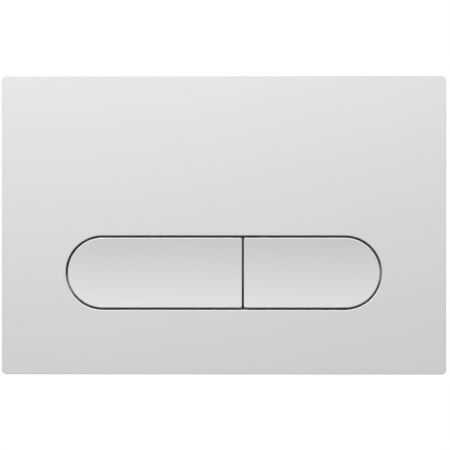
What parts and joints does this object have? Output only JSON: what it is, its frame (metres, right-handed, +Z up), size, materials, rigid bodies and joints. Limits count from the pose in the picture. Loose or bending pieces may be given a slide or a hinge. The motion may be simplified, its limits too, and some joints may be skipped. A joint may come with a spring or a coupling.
{
  "type": "flush button plate",
  "caption": "White rectangular wall plate for a concealed cistern, with a long and a short dished push button in a round-ended cut-out, hinged, sprung and linked to push rods.",
  "frame": {"origin": "on the wall plane, behind the centre of the plate", "axes": "+X to the right seen from the front, +Y into the wall, +Z up"},
  "size_m": [0.247, 0.075, 0.166],
  "materials": {
    "front_plastic": "satin white moulded plastic",
    "carrier_plastic": "black moulded plastic, fine grain",
    "frame_plastic": "dark grey moulded plastic",
    "fitting_plastic": "natural white moulded plastic, threaded",
    "steel": "bright stainless pin, ring and wire",
    "screw_zinc": "zinc-plated steel",
    "bumper_rubber": "black soft rubber"
  },
  "bodies": {
    "housing": {"cover_plate": "front_plastic", "button_carrier": "carrier_plastic", "carrier_screws": "screw_zinc", "mounting_frame": "frame_plastic", "left_fixing_screw": "fitting_plastic", "right_fixing_screw": "fitting_plastic", "large_hinge_axle": "steel", "large_axle_ring": "steel", "large_return_spring": "steel", "large_left_bumper": "bumper_rubber", "large_right_bumper": "bumper_rubber", "small_hinge_axle": "steel", "small_axle_ring": "steel", "small_return_spring": "steel", "small_left_bumper": "bumper_rubber", "small_right_bumper": "bumper_rubber"},
    "large_button": {"large_button": "front_plastic"},
    "small_button": {"small_button": "front_plastic"},
    "large_push_rod": {"large_push_rod": "fitting_plastic"},
    "small_push_rod": {"small_push_rod": "fitting_plastic"}
  },
  "joints": [
    {"name": "large_button_press", "type": "hinge", "parent": "housing", "child": "large_button", "pos_m": [0, -0.009, 0.00225], "axis": [1, 0, 0], "range_deg": [0, 8.5], "stiffness_Nm_per_rad": 0.19, "springref_deg": -9.17, "deforming": ["large_return_spring"]},
    {"name": "large_rod_slide", "type": "slide", "parent": "housing", "child": "large_push_rod", "axis": [0, 1, 0], "range_m": [0, 0.00535]},
    {"name": "small_button_press", "type": "hinge", "parent": "housing", "child": "small_button", "pos_m": [0, -0.009, 0.00225], "axis": [1, 0, 0], "range_deg": [0, 8.5], "stiffness_Nm_per_rad": 0.19, "springref_deg": -9.17, "deforming": ["small_return_spring"]},
    {"name": "small_rod_slide", "type": "slide", "parent": "housing", "child": "small_push_rod", "axis": [0, 1, 0], "range_m": [0, 0.00535]}
  ],
  "couplings": [
    {"joint": "large_rod_slide", "follows": "large_button_press", "m_per_rad": 0.036},
    {"joint": "small_rod_slide", "follows": "small_button_press", "m_per_rad": 0.036}
  ]
}
